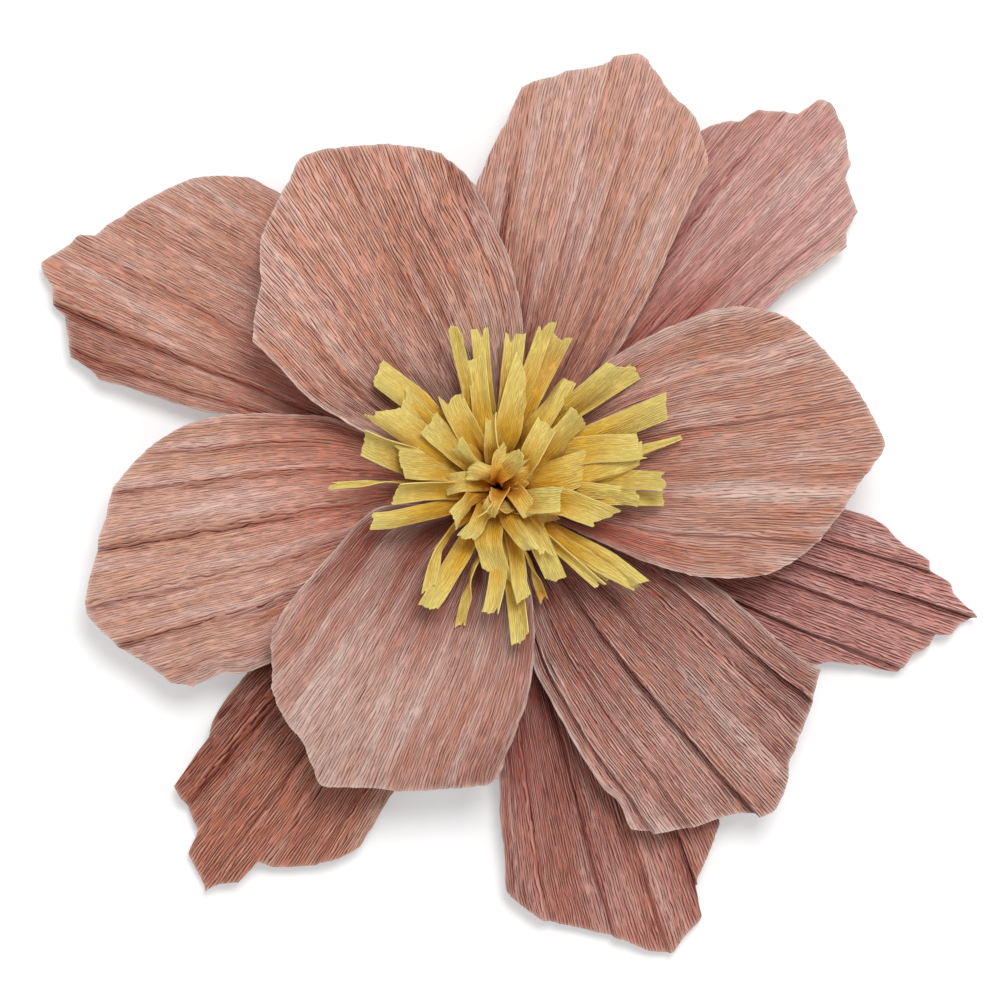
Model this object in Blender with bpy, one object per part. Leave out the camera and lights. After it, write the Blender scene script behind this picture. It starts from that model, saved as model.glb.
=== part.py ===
"""Large crepe paper flower, lying on its back with its stamens up.

Eleven petals are cut from crepe paper, gathered at the foot and glued in three layers on a round card.
In the middle stands the stamen fringe: one long strip, cut into tongues, rolled up and bound with wire.
Metres, +Z up. The origin is the middle of the card's underside, under the axis of the stamen roll.
"""

import math
import random

import bpy
import bmesh
import numpy as np

MM = 0.001

# Paper, card and the play between glued pieces
PAPER_THICKNESS = 0.6 * MM
CARD_THICKNESS = 2.0 * MM
CARD_RADIUS = 38.0 * MM
GLUE_GAP = 0.3 * MM

# Stamen fringe: a strip rolled up from the inside out
ROLL_INNER_RADIUS = 4.6 * MM
ROLL_TURN_GAP = 0.5 * MM
BAND_HEIGHT = 19.0 * MM
TONGUE_COUNT = 62
TONGUE_WIDTH_INNER = 5.0 * MM
TONGUE_WIDTH_OUTER = 9.4 * MM
TONGUE_REACH_INNER = 15.0 * MM  # how far from the axis the first tongue's tip stands
TONGUE_REACH_SPREAD = 7.0 * MM
TONGUE_BEND_LENGTH = 30.0 * MM
TONGUE_SLIT = 0.35 * MM
TONGUE_RISE_INNER = 68.0  # degrees above the table at the tongue's end
TONGUE_RISE_OUTER = 8.0
TONGUE_RISE_SPREAD = 2.0
TONGUE_SLANT = 2.0 * MM  # how far a tip is cut off square
TONGUE_STATIONS = (0.3, 0.62, 1.0)  # along the bend, the same on every tongue so that the turns stay nested
# How far from the axis the outermost tongues reach, in mm, for every 30 degrees from +X
TONGUE_REACH_OUTER = (70, 82, 78, 72, 73, 67, 66, 58, 61, 67, 56, 70)

# Wire that binds the foot of the roll
WIRE_RADIUS = 0.6 * MM
WIRE_HEIGHT = 7.0 * MM  # above the card

# Petal feet, gathered and glued round the roll
FOOT_RADIUS = 15.9 * MM
LAYER_STEP = 2.3 * MM  # from one layer's feet to the next; the folds of one sink into the other's
GATHER_HEIGHT = 0.9 * MM  # of the folds at the foot, either way from the sheet's middle
GATHER_PITCH = 3.8 * MM  # from one fold to the next at the foot
GATHER_REACH = 55.0 * MM  # from the axis, where the gathers have opened out
PLEAT_STEP = 0.035  # half the width of a pleat's step, as a share of the half petal
PLEAT_START = 0.30  # depth of a pleat at the foot, as a share of its depth at the crest
KNOT_SPACING = 0.055  # least distance between two fold lines, as a share of the half petal
ROWS = (0.0, 0.09, 0.24, 0.44, 0.66, 0.84, 1.0)  # along the petal, foot to cut edge

# Each layer's foot half-width, its rise from foot to crest, and where the crest lies from the axis
LAYERS = {
    "back": {"order": 0, "foot": 7.0 * MM, "rise": 12.0 * MM, "crest": 85.0 * MM},
    "middle": {"order": 1, "foot": 12.0 * MM, "rise": 27.0 * MM, "crest": 125.0 * MM},
    "front": {"order": 2, "foot": 13.0 * MM, "rise": 43.0 * MM, "crest": 112.0 * MM},
}

# One entry for each petal. "axis" is the direction of its grain in degrees from +X, "tip" the height of its far
# end above its foot, "cup" how far its sides stand above its middle, "fan" how much the grain still spreads past
# the widest point. "outline" is the cut shape seen from above, in mm from the flower's axis: out along the
# clockwise side, round the end and back. "pleats" are (place across the petal from -1 to 1, step in mm).
PETALS = {
    "petal_back_upper_left": {
        "layer": "back", "axis": 155, "tip": 5, "cup": 2, "fan": 0.3,
        "outline": [(-45, 72), (-70, 108), (-99, 131), (-128, 140), (-156, 131), (-183, 113), (-188, 114),
                    (-207, 101), (-201, 90), (-200, 80), (-194, 70), (-193, 59), (-181, 48), (-156, 40),
                    (-121, 32)],
        "pleats": [(-0.48, -2.6), (-0.22, -3.2), (0.24, -4.2), (0.72, -2.4)],
    },
    "petal_back_upper_right": {
        "layer": "back", "axis": 47, "tip": 9, "cup": 0, "fan": 0.3,
        "outline": [(85, 52), (120, 81), (137, 94), (156, 108), (157, 119), (161, 123), (155, 138), (158, 146),
                    (154, 160), (151, 170), (143, 175), (135, 168), (115, 170), (109, 164), (93, 162),
                    (75, 150), (60, 120), (40, 83)],
        "pleats": [(-0.73, 2.4), (-0.36, -2.0), (0.0, -2.8), (0.38, -5.0), (0.68, 2.0)],
    },
    "petal_back_right": {
        "layer": "back", "axis": -20, "tip": 3, "cup": 0, "fan": 0.3,
        "outline": [(105, -65), (138, -82), (157, -81), (164, -80), (178, -85), (193, -71), (202, -66),
                    (215, -61), (214, -55), (204, -49), (203, -43), (195, -39), (193, -31), (181, -25),
                    (171, -16), (156, -11), (120, 0), (85, 8)],
        "pleats": [(-0.47, 3.6), (0.1, 4.0), (0.37, 5.5), (0.66, 4.0)],
    },
    "petal_back_bottom": {
        "layer": "back", "axis": -74, "tip": 3, "cup": 2, "fan": 0.3,
        "outline": [(-3, -95), (0, -133), (0, -147), (2, -161), (4, -182), (10, -187), (19, -195), (38, -199),
                    (51, -202), (68, -208), (77, -210), (85, -200), (90, -195), (86, -183), (89, -176),
                    (94, -162), (98, -150), (90, -115), (65, -75)],
        "pleats": [(-0.69, -2.8), (-0.13, 2.4), (0.24, 2.4), (0.58, 5.0)],
    },
    "petal_back_lower_left": {
        "layer": "back", "axis": 233, "tip": 4, "cup": -2, "fan": 0.3,
        "outline": [(-75, -48), (-111, -83), (-123, -96), (-130, -109), (-138, -122), (-147, -134),
                    (-140, -148), (-135, -155), (-141, -165), (-133, -182), (-116, -178), (-108, -168),
                    (-94, -171), (-84, -170), (-72, -167), (-62, -160), (-48, -137), (-30, -100)],
        "pleats": [(-0.62, -5.0), (0.06, 3.2), (0.35, -2.8), (0.74, 2.2)],
    },
    "petal_middle_top": {
        "layer": "middle", "axis": 75, "tip": 18, "cup": 1, "fan": 0.3,
        "outline": [(51, 58), (73, 100), (86, 128), (94, 145), (91, 156), (85, 169), (73, 181), (63, 195),
                    (52, 193), (40, 188), (28, 187), (16, 182), (7, 178), (4, 164), (-1, 157), (-11, 135),
                    (-14, 115), (-12, 80)],
        "pleats": [(-0.61, -2.4), (-0.26, 3.0), (0.02, 2.8), (0.34, 2.2), (0.63, -2.8)],
    },
    "petal_middle_left": {
        "layer": "middle", "axis": 191, "tip": 21, "cup": -1, "fan": 0.3,
        "outline": [(-78, 32), (-95, 33), (-121, 31), (-132, 29), (-153, 21), (-170, 4), (-176, -5),
                    (-184, -35), (-187, -57), (-171, -74), (-147, -89), (-138, -90), (-115, -84), (-95, -75),
                    (-60, -50)],
        "pleats": [(-0.76, -2.2), (-0.5, -3.6), (-0.13, -4.2), (0.25, -4.0), (0.55, -3.4)],
    },
    "petal_middle_lower_right": {
        "layer": "middle", "axis": -48, "tip": 20, "cup": 0, "fan": 0.3,
        "outline": [(16, -84), (30, -110), (46, -132), (50, -138), (60, -155), (68, -155), (99, -149),
                    (118, -148), (124, -145), (129, -130), (128, -125), (135, -109), (144, -83), (136, -72),
                    (121, -62), (99, -44), (80, -33)],
        "pleats": [(-0.88, 4.0), (-0.62, 2.4), (-0.2, 5.5), (0.49, -2.8), (0.76, 5.0)],
    },
    "petal_front_upper_left": {
        "layer": "front", "axis": 120, "tip": 40, "cup": 3, "fan": 0.6,
        "outline": [(11, 71), (5, 101), (-4, 123), (-18, 143), (-32, 151), (-55, 154), (-78, 152), (-90, 148),
                    (-93, 138), (-103, 122), (-108, 111), (-107, 96), (-111, 65), (-93, 47), (-72, 31),
                    (-60, 25)],
        "pleats": [(-0.82, 2.6), (-0.5, 1.8), (-0.2, -1.8), (0.37, -1.4)],
    },
    "petal_front_lower_left": {
        "layer": "front", "axis": 246, "tip": 34, "cup": -3, "fan": 0.6,
        "outline": [(-50, -6), (-64, -15), (-79, -32), (-96, -55), (-101, -62), (-103, -69), (-103, -87),
                    (-96, -106), (-88, -114), (-81, -135), (-58, -135), (-46, -137), (-15, -135), (-1, -131),
                    (5, -114), (15, -83), (17, -67), (15, -44)],
        "pleats": [(-0.75, 1.6), (-0.37, 1.4), (0.13, -1.4)],
    },
    "petal_front_right": {
        "layer": "front", "axis": 4, "tip": 37, "cup": 1, "fan": 0.5,
        "outline": [(54, -32), (77, -38), (103, -41), (113, -41), (130, -34), (144, -23), (155, -9), (171, 13),
                    (174, 17), (166, 36), (149, 57), (133, 74), (121, 79), (108, 80), (93, 78), (71, 67),
                    (58, 60), (36, 47)],
        "pleats": [(-0.61, 2.2), (-0.2, -2.0), (0.3, 2.2), (0.66, -2.0)],
    },
}

COLOURS = {
    "blush_crepe": ((0.515, 0.266, 0.202, 1.0), 0.85, 0.0),
    "yellow_crepe": ((0.745, 0.520, 0.110, 1.0), 0.85, 0.0),
    "grey_card": ((0.60, 0.56, 0.50, 1.0), 0.9, 0.0),
    "florist_wire": ((0.30, 0.32, 0.30, 1.0), 0.4, 0.9),
}


def clear_scene():
    for obj in list(bpy.data.objects):
        bpy.data.objects.remove(obj)


def make_material(name):
    colour, roughness, metallic = COLOURS[name]
    material = bpy.data.materials.new(name)
    material.use_nodes = True
    shader = material.node_tree.nodes["Principled BSDF"]
    shader.inputs["Base Color"].default_value = colour
    shader.inputs["Roughness"].default_value = roughness
    shader.inputs["Metallic"].default_value = metallic
    return material


def add_object(name, mesh, material):
    mesh.materials.append(material)
    obj = bpy.data.objects.new(name, mesh)
    bpy.context.scene.collection.objects.link(obj)
    return obj


def make_sheet(name, points, faces, material):
    """A paper piece: its middle surface as a mesh, given the paper's thickness by a Solidify modifier."""
    mesh = bpy.data.meshes.new(name)
    mesh.from_pydata([tuple(point) for point in points], [], faces)
    obj = add_object(name, mesh, material)
    solidify = obj.modifiers.new("paper", "SOLIDIFY")
    solidify.thickness = PAPER_THICKNESS
    solidify.offset = 0.0
    return obj


def smooth_step(value):
    value = np.clip(value, 0.0, 1.0)
    return value * value * (3.0 - 2.0 * value)


def side_width(points, foot_half_width):
    """(distance out, width) stations of one side edge, from the glued foot to the widest point."""
    stations = [(FOOT_RADIUS, foot_half_width)] + [point for point in points if point[0] > FOOT_RADIUS]
    return np.array(sorted(stations))


def width_at(side, distance, fan):
    """Half-width of the petal's grain at a distance out. Past the widest point the grain fans on by itself."""
    inside = np.interp(distance, side[:, 0], side[:, 1])
    beyond = np.maximum(distance - side[-1, 0], 0.0)
    return inside * (1.0 + fan * beyond / side[-1, 0])


class Petal:
    """Turns (place across, place along) on a petal into a point, from the petal's entry in PETALS."""

    def __init__(self, entry):
        self.layer = LAYERS[entry["layer"]]
        self.fan = entry["fan"]
        self.tip = entry["tip"] * MM
        self.cup = entry["cup"] * MM
        self.pleats = [(place, step * MM) for place, step in entry["pleats"]]
        angle = math.radians(entry["axis"])
        self.out = np.array([math.cos(angle), math.sin(angle)])
        self.left = np.array([-math.sin(angle), math.cos(angle)])
        cut = np.array(entry["outline"], float) * MM
        cut = np.column_stack([cut @ self.out, cut @ self.left])
        widest_right = int(np.argmin(cut[:, 1]))
        widest_left = int(np.argmax(cut[:, 1]))
        foot = self.layer["foot"]
        self.right_side = side_width([(a, -c) for a, c in cut[:widest_right + 1]], foot)
        self.left_side = side_width([(a, c) for a, c in cut[widest_left:]], foot)
        end = cut[widest_right:widest_left + 1]
        self.end_across = np.maximum.accumulate(self.across_of(end[:, 0], end[:, 1]))
        self.end_reach = end[:, 0]

    def across_of(self, distance, offset):
        right = width_at(self.right_side, distance, self.fan)
        left = width_at(self.left_side, distance, self.fan)
        return np.where(offset < 0.0, offset / right, offset / left)

    def fold_lines(self):
        """Where the mesh needs a line along the petal: at both edges of each pleat's step and at cut corners."""
        lines = [-1.0, 1.0]
        for place, _ in self.pleats:
            lines += [place - PLEAT_STEP, place + PLEAT_STEP]
        for corner in self.end_across:
            if min(abs(corner - line) for line in lines) > KNOT_SPACING:
                lines.append(float(corner))
        return np.array(sorted(lines))

    def pleat_height(self, across):
        """Knife pleats: a short step at each place, and a long easy slope back to the next."""
        places, heights = [-1.0], [0.0]
        for place, step in self.pleats:
            places += [place - PLEAT_STEP, place + PLEAT_STEP]
            heights += [-step / 2.0, step / 2.0]
        return np.interp(across, places + [1.0], heights + [0.0])

    def foot_height(self):
        """The first layer is glued on the card, and each other layer on the one below it."""
        bottom = CARD_THICKNESS + GLUE_GAP + GATHER_HEIGHT + PAPER_THICKNESS / 2.0
        return bottom + self.layer["order"] * LAYER_STEP

    def rise(self, radius):
        """Height of the sheet's middle above its foot at a radius from the flower's axis: up to the crest, then
        over to the tip. Petals of a layer share the climb, so that no layer cuts through the one above."""
        crest = self.layer["crest"]
        climb = np.clip((radius - FOOT_RADIUS) / (crest - FOOT_RADIUS), 0.0, 1.0)
        fall = np.clip((radius - crest) / (self.end_reach.max() - crest), 0.0, 1.0)
        drop = (self.layer["rise"] - self.tip) * (1.0 - np.cos(fall * math.pi / 2.0))
        return self.layer["rise"] * np.sin(climb * math.pi / 2.0) - drop

    def surface(self):
        """Points of the sheet's middle surface, row by row, and the quads between them."""
        across = self.fold_lines()
        reach = np.interp(across, self.end_across, self.end_reach)
        gather_wave = np.cos(across * self.layer["foot"] / GATHER_PITCH * 2.0 * math.pi)
        points = []
        for share in ROWS:
            distance = FOOT_RADIUS + share * (reach - FOOT_RADIUS)
            width = np.where(across < 0.0, width_at(self.right_side, distance, self.fan),
                             width_at(self.left_side, distance, self.fan))
            offset = across * width
            opened = smooth_step((distance - FOOT_RADIUS) / (self.layer["crest"] - FOOT_RADIUS))
            gathered = 1.0 - smooth_step((distance - FOOT_RADIUS) / (GATHER_REACH - FOOT_RADIUS))
            height = self.foot_height() + self.rise(np.hypot(distance, offset))
            height = height + self.cup * across**2 * opened
            height = height + self.pleat_height(across) * (PLEAT_START + (1.0 - PLEAT_START) * opened) * opened
            height = height + gather_wave * GATHER_HEIGHT * gathered
            plan = distance[:, None] * self.out + offset[:, None] * self.left
            points += list(np.column_stack([plan, height]))
        columns = len(across)
        faces = []
        for row in range(len(ROWS) - 1):
            for column in range(columns - 1):
                corner = row * columns + column
                faces.append((corner, corner + columns, corner + columns + 1, corner + 1))
        return points, faces


def roll_radius(length):
    """Radius of the spiral after this length of strip: each turn adds the paper and the gap between turns."""
    pitch = PAPER_THICKNESS + ROLL_TURN_GAP
    return math.sqrt(ROLL_INNER_RADIUS**2 + length * pitch / math.pi)


def tongue_layout():
    """Start and end of each tongue along the strip, and its share of the way from the inside out."""
    tongues, start = [], 0.0
    for index in range(TONGUE_COUNT):
        share = index / (TONGUE_COUNT - 1)
        width = TONGUE_WIDTH_INNER + share * (TONGUE_WIDTH_OUTER - TONGUE_WIDTH_INNER)
        tongues.append((start, start + width, share))
        start += width
    return tongues


def spiral_azimuth(length):
    """Angle turned through after this length of strip."""
    pitch = PAPER_THICKNESS + ROLL_TURN_GAP
    return (roll_radius(length) - ROLL_INNER_RADIUS) * 2.0 * math.pi / pitch


def outer_reach(azimuth):
    """How far from the axis an outermost tongue reaches in this direction."""
    step = 360.0 / len(TONGUE_REACH_OUTER)
    place = (math.degrees(azimuth) % 360.0) / step
    low = int(place) % len(TONGUE_REACH_OUTER)
    high = (low + 1) % len(TONGUE_REACH_OUTER)
    return (TONGUE_REACH_OUTER[low] + (place - int(place)) * (TONGUE_REACH_OUTER[high] - TONGUE_REACH_OUTER[low])) * MM


def tongue_length(start_radius, rise_degrees, reach):
    """Length of tongue that ends at this distance from the axis, for a bend that keeps to its own length."""
    bent = TONGUE_BEND_LENGTH * bend_advance(rise_degrees)
    return TONGUE_BEND_LENGTH + (reach - start_radius - bent) / math.cos(math.radians(rise_degrees))


def bend_advance(rise_degrees):
    """How far out a tongue gets along its bend, as a share of the bend's length."""
    steps = 24
    slopes = [90.0 - (90.0 - rise_degrees) * float(smooth_step((i + 0.5) / steps)) for i in range(steps)]
    return sum(math.cos(math.radians(slope)) for slope in slopes) / steps


def tongue_profile(start_radius, rise_degrees, length):
    """(radius, height) along a tongue: straight up out of the band, then bending over to its final slope."""
    steps_per_station = 6
    radius, height, gone = start_radius, CARD_THICKNESS + GLUE_GAP + BAND_HEIGHT, 0.0
    profile = [(radius, height)]
    for end in [station * TONGUE_BEND_LENGTH for station in TONGUE_STATIONS] + [length]:
        step = (end - gone) / steps_per_station
        for _ in range(steps_per_station):
            bend = float(smooth_step((gone + step / 2.0) / TONGUE_BEND_LENGTH))
            slope = math.radians(90.0 - (90.0 - rise_degrees) * bend)
            radius += step * math.cos(slope)
            height += step * math.sin(slope)
            gone += step
        profile.append((radius, height))
    return profile


def build_stamens(material):
    """The whole rolled strip as one sheet: band below, tongues above, parted by slits."""
    dice = random.Random(7)
    points, faces = [], []
    bottom = CARD_THICKNESS + GLUE_GAP

    def add_point(radius, azimuth, height):
        points.append((radius * math.cos(azimuth), radius * math.sin(azimuth), height))
        return len(points) - 1

    def add_pair(length):
        """A point at the foot of the band and one at its top, for a place along the strip."""
        radius, azimuth = roll_radius(length), spiral_azimuth(length)
        return add_point(radius, azimuth, bottom), add_point(radius, azimuth, bottom + BAND_HEIGHT)

    first = add_pair(0.0)
    for start, end, share in tongue_layout():
        middle = (start + end) / 2.0
        stations = [first, add_pair(middle), add_pair(end)]
        for one, other in zip(stations, stations[1:]):
            faces.append((one[0], other[0], other[1], one[1]))
        rise = TONGUE_RISE_INNER + share * (TONGUE_RISE_OUTER - TONGUE_RISE_INNER)
        rise += dice.uniform(-TONGUE_RISE_SPREAD, TONGUE_RISE_SPREAD)
        reach = TONGUE_REACH_INNER + share**0.8 * (outer_reach(spiral_azimuth(middle)) - TONGUE_REACH_INNER)
        reach += share * dice.uniform(-TONGUE_REACH_SPREAD, TONGUE_REACH_SPREAD)
        length = tongue_length(roll_radius(middle), rise, reach)
        slant = dice.uniform(-TONGUE_SLANT, TONGUE_SLANT)
        half_width = (end - start) / 2.0 - TONGUE_SLIT
        below = [station[1] for station in stations]
        profiles = [tongue_profile(roll_radius(place), rise, length + side * slant)
                    for place, side in ((start, -1.0), (middle, 0.0), (end, 1.0))]
        for station in range(1, len(TONGUE_STATIONS) + 2):
            row = []
            for side, profile in zip((-1.0, 0.0, 1.0), profiles):
                radius, height = profile[station]
                azimuth = spiral_azimuth(middle) + side * half_width / radius
                row.append(add_point(radius, azimuth, height))
            for column in range(2):
                faces.append((below[column], below[column + 1], row[column + 1], row[column]))
            below = row
        first = stations[-1]
    return make_sheet("stamen_fringe", points, faces, material)


def build_card(material):
    mesh = bpy.data.meshes.new("backing_card")
    shape = bmesh.new()
    bmesh.ops.create_cone(shape, cap_ends=True, segments=64, radius1=CARD_RADIUS, radius2=CARD_RADIUS,
                          depth=CARD_THICKNESS)
    bmesh.ops.translate(shape, verts=shape.verts, vec=(0.0, 0.0, CARD_THICKNESS / 2.0))
    shape.to_mesh(mesh)
    shape.free()
    return add_object("backing_card", mesh, material)


def build_binding(material):
    """One tight turn of wire round the foot of the roll."""
    strip_length = tongue_layout()[-1][1]
    inside = roll_radius(strip_length) + PAPER_THICKNESS / 2.0 + GLUE_GAP
    bpy.ops.mesh.primitive_torus_add(major_segments=28, minor_segments=6, major_radius=inside + WIRE_RADIUS,
                                     minor_radius=WIRE_RADIUS, location=(0.0, 0.0, CARD_THICKNESS + WIRE_HEIGHT))
    ring = bpy.context.active_object
    ring.name = "binding_wire"
    ring.data.materials.append(material)
    return ring


def main():
    clear_scene()
    blush = make_material("blush_crepe")
    yellow = make_material("yellow_crepe")
    build_card(make_material("grey_card"))
    build_binding(make_material("florist_wire"))
    build_stamens(yellow)
    for name, entry in PETALS.items():
        points, faces = Petal(entry).surface()
        make_sheet(name, points, faces, blush)


main()
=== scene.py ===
import math

import bpy
import numpy as np
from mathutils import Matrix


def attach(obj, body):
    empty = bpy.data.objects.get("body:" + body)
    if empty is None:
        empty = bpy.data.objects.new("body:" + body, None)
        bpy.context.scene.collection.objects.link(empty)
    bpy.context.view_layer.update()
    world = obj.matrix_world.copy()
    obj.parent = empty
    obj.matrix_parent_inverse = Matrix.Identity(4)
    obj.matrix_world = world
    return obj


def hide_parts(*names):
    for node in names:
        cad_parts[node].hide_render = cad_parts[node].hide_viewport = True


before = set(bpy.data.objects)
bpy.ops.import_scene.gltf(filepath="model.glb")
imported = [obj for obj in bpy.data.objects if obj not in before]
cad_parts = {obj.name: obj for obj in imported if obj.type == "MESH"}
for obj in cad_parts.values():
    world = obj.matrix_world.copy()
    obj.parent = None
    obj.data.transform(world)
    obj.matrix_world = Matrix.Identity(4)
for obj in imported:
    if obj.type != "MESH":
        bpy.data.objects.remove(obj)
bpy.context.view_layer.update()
mm = 0.001
print("frame loaded:", len(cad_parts), "nodes")


# Smooth random values, used for every soft unevenness of the paper

def blendWeights(count, cells):
    # weights of the cells + 3 control values for each of count places, as a cubic B-spline
    place = np.linspace(0.0, cells, count)
    low = np.minimum(place.astype(int), cells - 1)
    f = place - low
    parts = ((1 - f) ** 3, 3 * f**3 - 6 * f**2 + 4, -3 * f**3 + 3 * f**2 + 3 * f + 1, f**3)
    weights = np.zeros((count, cells + 3))
    for step, part in enumerate(parts):
        weights[np.arange(count), low + step] += part / 6.0
    return weights


def softNoise(dice, rows, columns, rowCells, columnCells):
    # about -1 to 1, smooth in both directions
    values = dice.standard_normal((rowCells + 3, columnCells + 3))
    return blendWeights(rows, rowCells) @ values @ blendWeights(columns, columnCells).T


def ease(value):
    value = np.clip(value, 0.0, 1.0)
    return value * value * (3.0 - 2.0 * value)


# Paper sheets: a grid of points made into a closed sheet with two faces and a rim

def gridNormals(points):
    along = np.gradient(points, axis=0)
    across = np.gradient(points, axis=1)
    normals = np.cross(along, across)
    return normals / np.maximum(np.linalg.norm(normals, axis=2, keepdims=True), 1e-12)


def sheetFaces(rows, columns):
    # quads of both faces and of the rim, for two grids of points one after the other
    ids = np.arange(rows * columns).reshape(rows, columns)
    quads = np.stack([ids[:-1, :-1], ids[1:, :-1], ids[1:, 1:], ids[:-1, 1:]], axis=-1).reshape(-1, 4)
    under = quads[:, ::-1] + rows * columns
    border = np.concatenate([ids[0, :-1], ids[:-1, -1], ids[-1, :0:-1], ids[:0:-1, 0]])
    following = np.roll(border, -1)
    rim = np.stack([border, following, following + rows * columns, border + rows * columns], axis=-1)
    return np.concatenate([quads, under, rim])


def sheetParts(points, thickness):
    offset = gridNormals(points) * thickness / 2.0
    rows, columns = points.shape[:2]
    both = np.concatenate([(points + offset).reshape(-1, 3), (points - offset).reshape(-1, 3)])
    return both, sheetFaces(rows, columns)


def makeMesh(name, vertices, faces, grain, values):
    # grain is a place in mm on the flat paper for each vertex, values are named numbers for each vertex
    mesh = bpy.data.meshes.new(name)
    mesh.vertices.add(len(vertices))
    mesh.vertices.foreach_set("co", np.asarray(vertices, np.float32).ravel())
    mesh.loops.add(faces.size)
    mesh.loops.foreach_set("vertex_index", faces.ravel().astype(np.int32))
    mesh.polygons.add(len(faces))
    mesh.polygons.foreach_set("loop_start", np.arange(0, faces.size, 4, dtype=np.int32))
    mesh.update(calc_edges=True)
    layer = mesh.uv_layers.new(name="grain")
    layer.data.foreach_set("uv", np.asarray(grain, np.float32)[faces.ravel()].ravel())
    for key, value in values.items():
        attribute = mesh.attributes.new(key, "FLOAT", "POINT")
        attribute.data.foreach_set("value", np.asarray(value, np.float32))
    mesh.validate()
    mesh.shade_smooth()
    mesh.set_sharp_from_angle(angle=math.radians(70))
    piece = bpy.data.objects.new(name, mesh)
    bpy.context.scene.collection.objects.link(piece)
    return piece


# Petals. In petalCuts, "axis" is the way that the grain runs, in degrees from +X. "tip" is the height of the far
# end above the foot, and "cup" how far the sides stand above the middle. "fan" is how much the grain still
# spreads past the widest place. "dyeAndShading" is the strength of the second colour at the foot, partly the
# paper's own deeper colour and partly painted shade and light, and "slope" how much paler the left side is
# painted, seen from the foot, as painted light on that side and painted shade on the other. "outline" is the cut
# seen from above, in mm from the flower's axis: out along the clockwise side, round the end and back. "folds" are
# (place across from -1 to 1, step in mm).

petal = {
    "paper": 0.55,         # thickness in mm, as all lengths are here
    "footRadius": 15.9,
    "footHeight": 3.5,     # of the lowest layer's sheet, above the table
    "layerStep": 2.3,
    "gatherHeight": 1.5,
    "gatherPitch": 4.3,
    "gatherReach": 85.0,
    "gatherDrift": 0.18,   # how far the gathers stray, in gathers
    "foldStart": 0.45,     # depth of a fold at the foot, as a share of its full depth
    "foldDepth": 1.3,      # times the step given for each fold
    "foldLap": 0.8,        # how far the upper ply reaches over the lower one, times the step
    "foldShade": (1.8, 1.2),   # how far the painted shadow reaches below a fold, and the painted highlight above it
    "fullFold": 3.6,       # the step at which a fold's painted shadow and highlight are at full strength
    "ridgePitch": 1.5,     # of the crepe
    "ridgeHeight": 0.24,
    "ridgeWander": 0.3,
    "rowPitch": 1.8,
    "creases": 30,
    "creaseDepth": 0.95,
    "creaseWidth": (0.7, 1.9),
    "ripple": 0.75,        # soft unevenness of the whole sheet
    "frill": 1.0,          # waves along the cut edge
    "endRagged": 0.16,
    "sideRagged": 0.35,
    "grainSoft": 16,       # as "soft" below, for the grain inside a petal
    "rimReach": 1.1,       # width of the paler cut edge
    "dyeAndShadingDrift": 9.0,       # how far the edge of the second colour at the foot wanders, partly the paper's own deeper colour, partly painted shade
    "gatherShade": 0.5,     # how much painted shade and highlight follow the gathers, folds and creases, and how strong the soft random patches of the paper's tone are
    "foldShadeStrength": 0.75,
    "creaseShade": 0.6,
    "patchTone": 0.55,
    "traceHeight": 14.0,   # the outlines are traced as seen from traceReach above this height
    "traceReach": 2600.0,
    "layers": {
        # "foot" is half the gathered width, and "crest" how far out the sheet is highest, by "rise";
        # "dyedAndShaded" is how far out the second colour of the foot reaches, partly the paper's own deeper
        # colour and partly painted shade, and over how many mm it fades;
        # "soft" is over how many mm either way the corners of the cut are rounded
        "back": {"order": 0, "foot": 7.0, "rise": 12.0, "crest": 85.0, "dyedAndShaded": (85, 75), "soft": 2},
        "middle": {"order": 1, "foot": 12.0, "rise": 27.0, "crest": 125.0, "dyedAndShaded": (60, 70), "soft": 4},
        "front": {"order": 2, "foot": 13.0, "rise": 43.0, "crest": 112.0, "dyedAndShaded": (40, 55), "soft": 7},
    },
}

# each petal's colours are partly painted shade and light: darker, redder copies of the paper for the back and
# lower petals that lie in shade, and paler ones for petals in more light
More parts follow.
